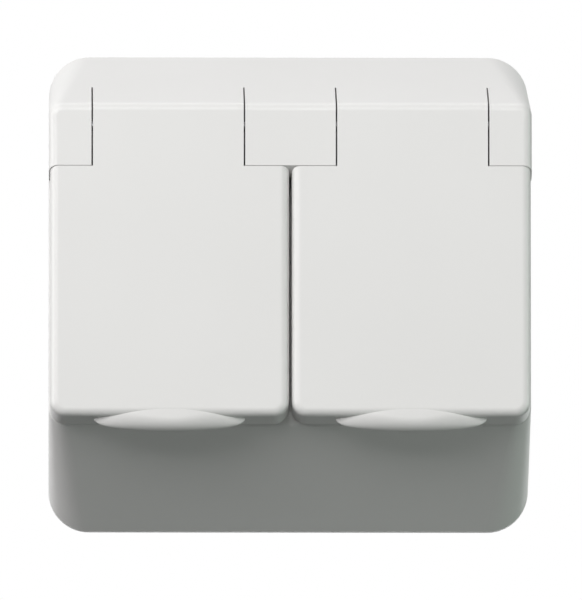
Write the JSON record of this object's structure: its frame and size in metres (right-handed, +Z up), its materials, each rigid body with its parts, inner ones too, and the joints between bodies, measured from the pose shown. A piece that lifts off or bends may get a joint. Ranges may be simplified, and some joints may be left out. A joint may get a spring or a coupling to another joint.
{
  "type": "outdoor weatherproof socket",
  "caption": "Surface-mounted weatherproof double socket outlet with sloping housing and two spring-loaded hinged lids over earthed wells.",
  "frame": {"origin": "middle of the back face, on the wall", "axes": "+X right, +Y into the wall, +Z up"},
  "size_m": [0.142, 0.06, 0.1412],
  "materials": {
    "white_shell": "satin",
    "insulator": "matt",
    "seal": "matt",
    "contact": "satin",
    "steel": "satin"
  },
  "bodies": {
    "root": {"housing": "white_shell", "base": "white_shell", "perimeter_seal": "seal", "cover_screws": "steel", "cover_washers": "seal", "left_cable_grommet": "seal", "left_hinge_pin": "steel", "left_lid_spring": "steel", "left_insert_cover": "white_shell", "left_insert_carrier": "insulator", "left_line_contact": "contact", "left_neutral_contact": "contact", "left_earth_bow": "contact", "left_centre_screw": "steel", "left_fixing_screws": "steel", "left_terminal_screws": "steel", "right_cable_grommet": "seal", "right_hinge_pin": "steel", "right_lid_spring": "steel", "right_insert_cover": "white_shell", "right_insert_carrier": "insulator", "right_line_contact": "contact", "right_neutral_contact": "contact", "right_earth_bow": "contact", "right_centre_screw": "steel", "right_fixing_screws": "steel", "right_terminal_screws": "steel"},
    "left_lid": {"left_lid": "white_shell", "left_lid_seal": "seal"},
    "right_lid": {"right_lid": "white_shell", "right_lid_seal": "seal"}
  },
  "joints": [
    {"name": "left_lid_hinge", "type": "hinge", "parent": "root", "child": "left_lid", "pos_m": [-0.0359, -0.0502, 0.04482], "axis": [-1, 0, 0], "range_deg": [0, 100], "stiffness_Nm_per_rad": 0.03, "springref_deg": -40.11, "deforming": ["left_lid_spring"]},
    {"name": "right_lid_hinge", "type": "hinge", "parent": "root", "child": "right_lid", "pos_m": [0.0359, -0.0502, 0.04482], "axis": [-1, 0, 0], "range_deg": [0, 100], "stiffness_Nm_per_rad": 0.03, "springref_deg": -40.11, "deforming": ["right_lid_spring"]}
  ]
}
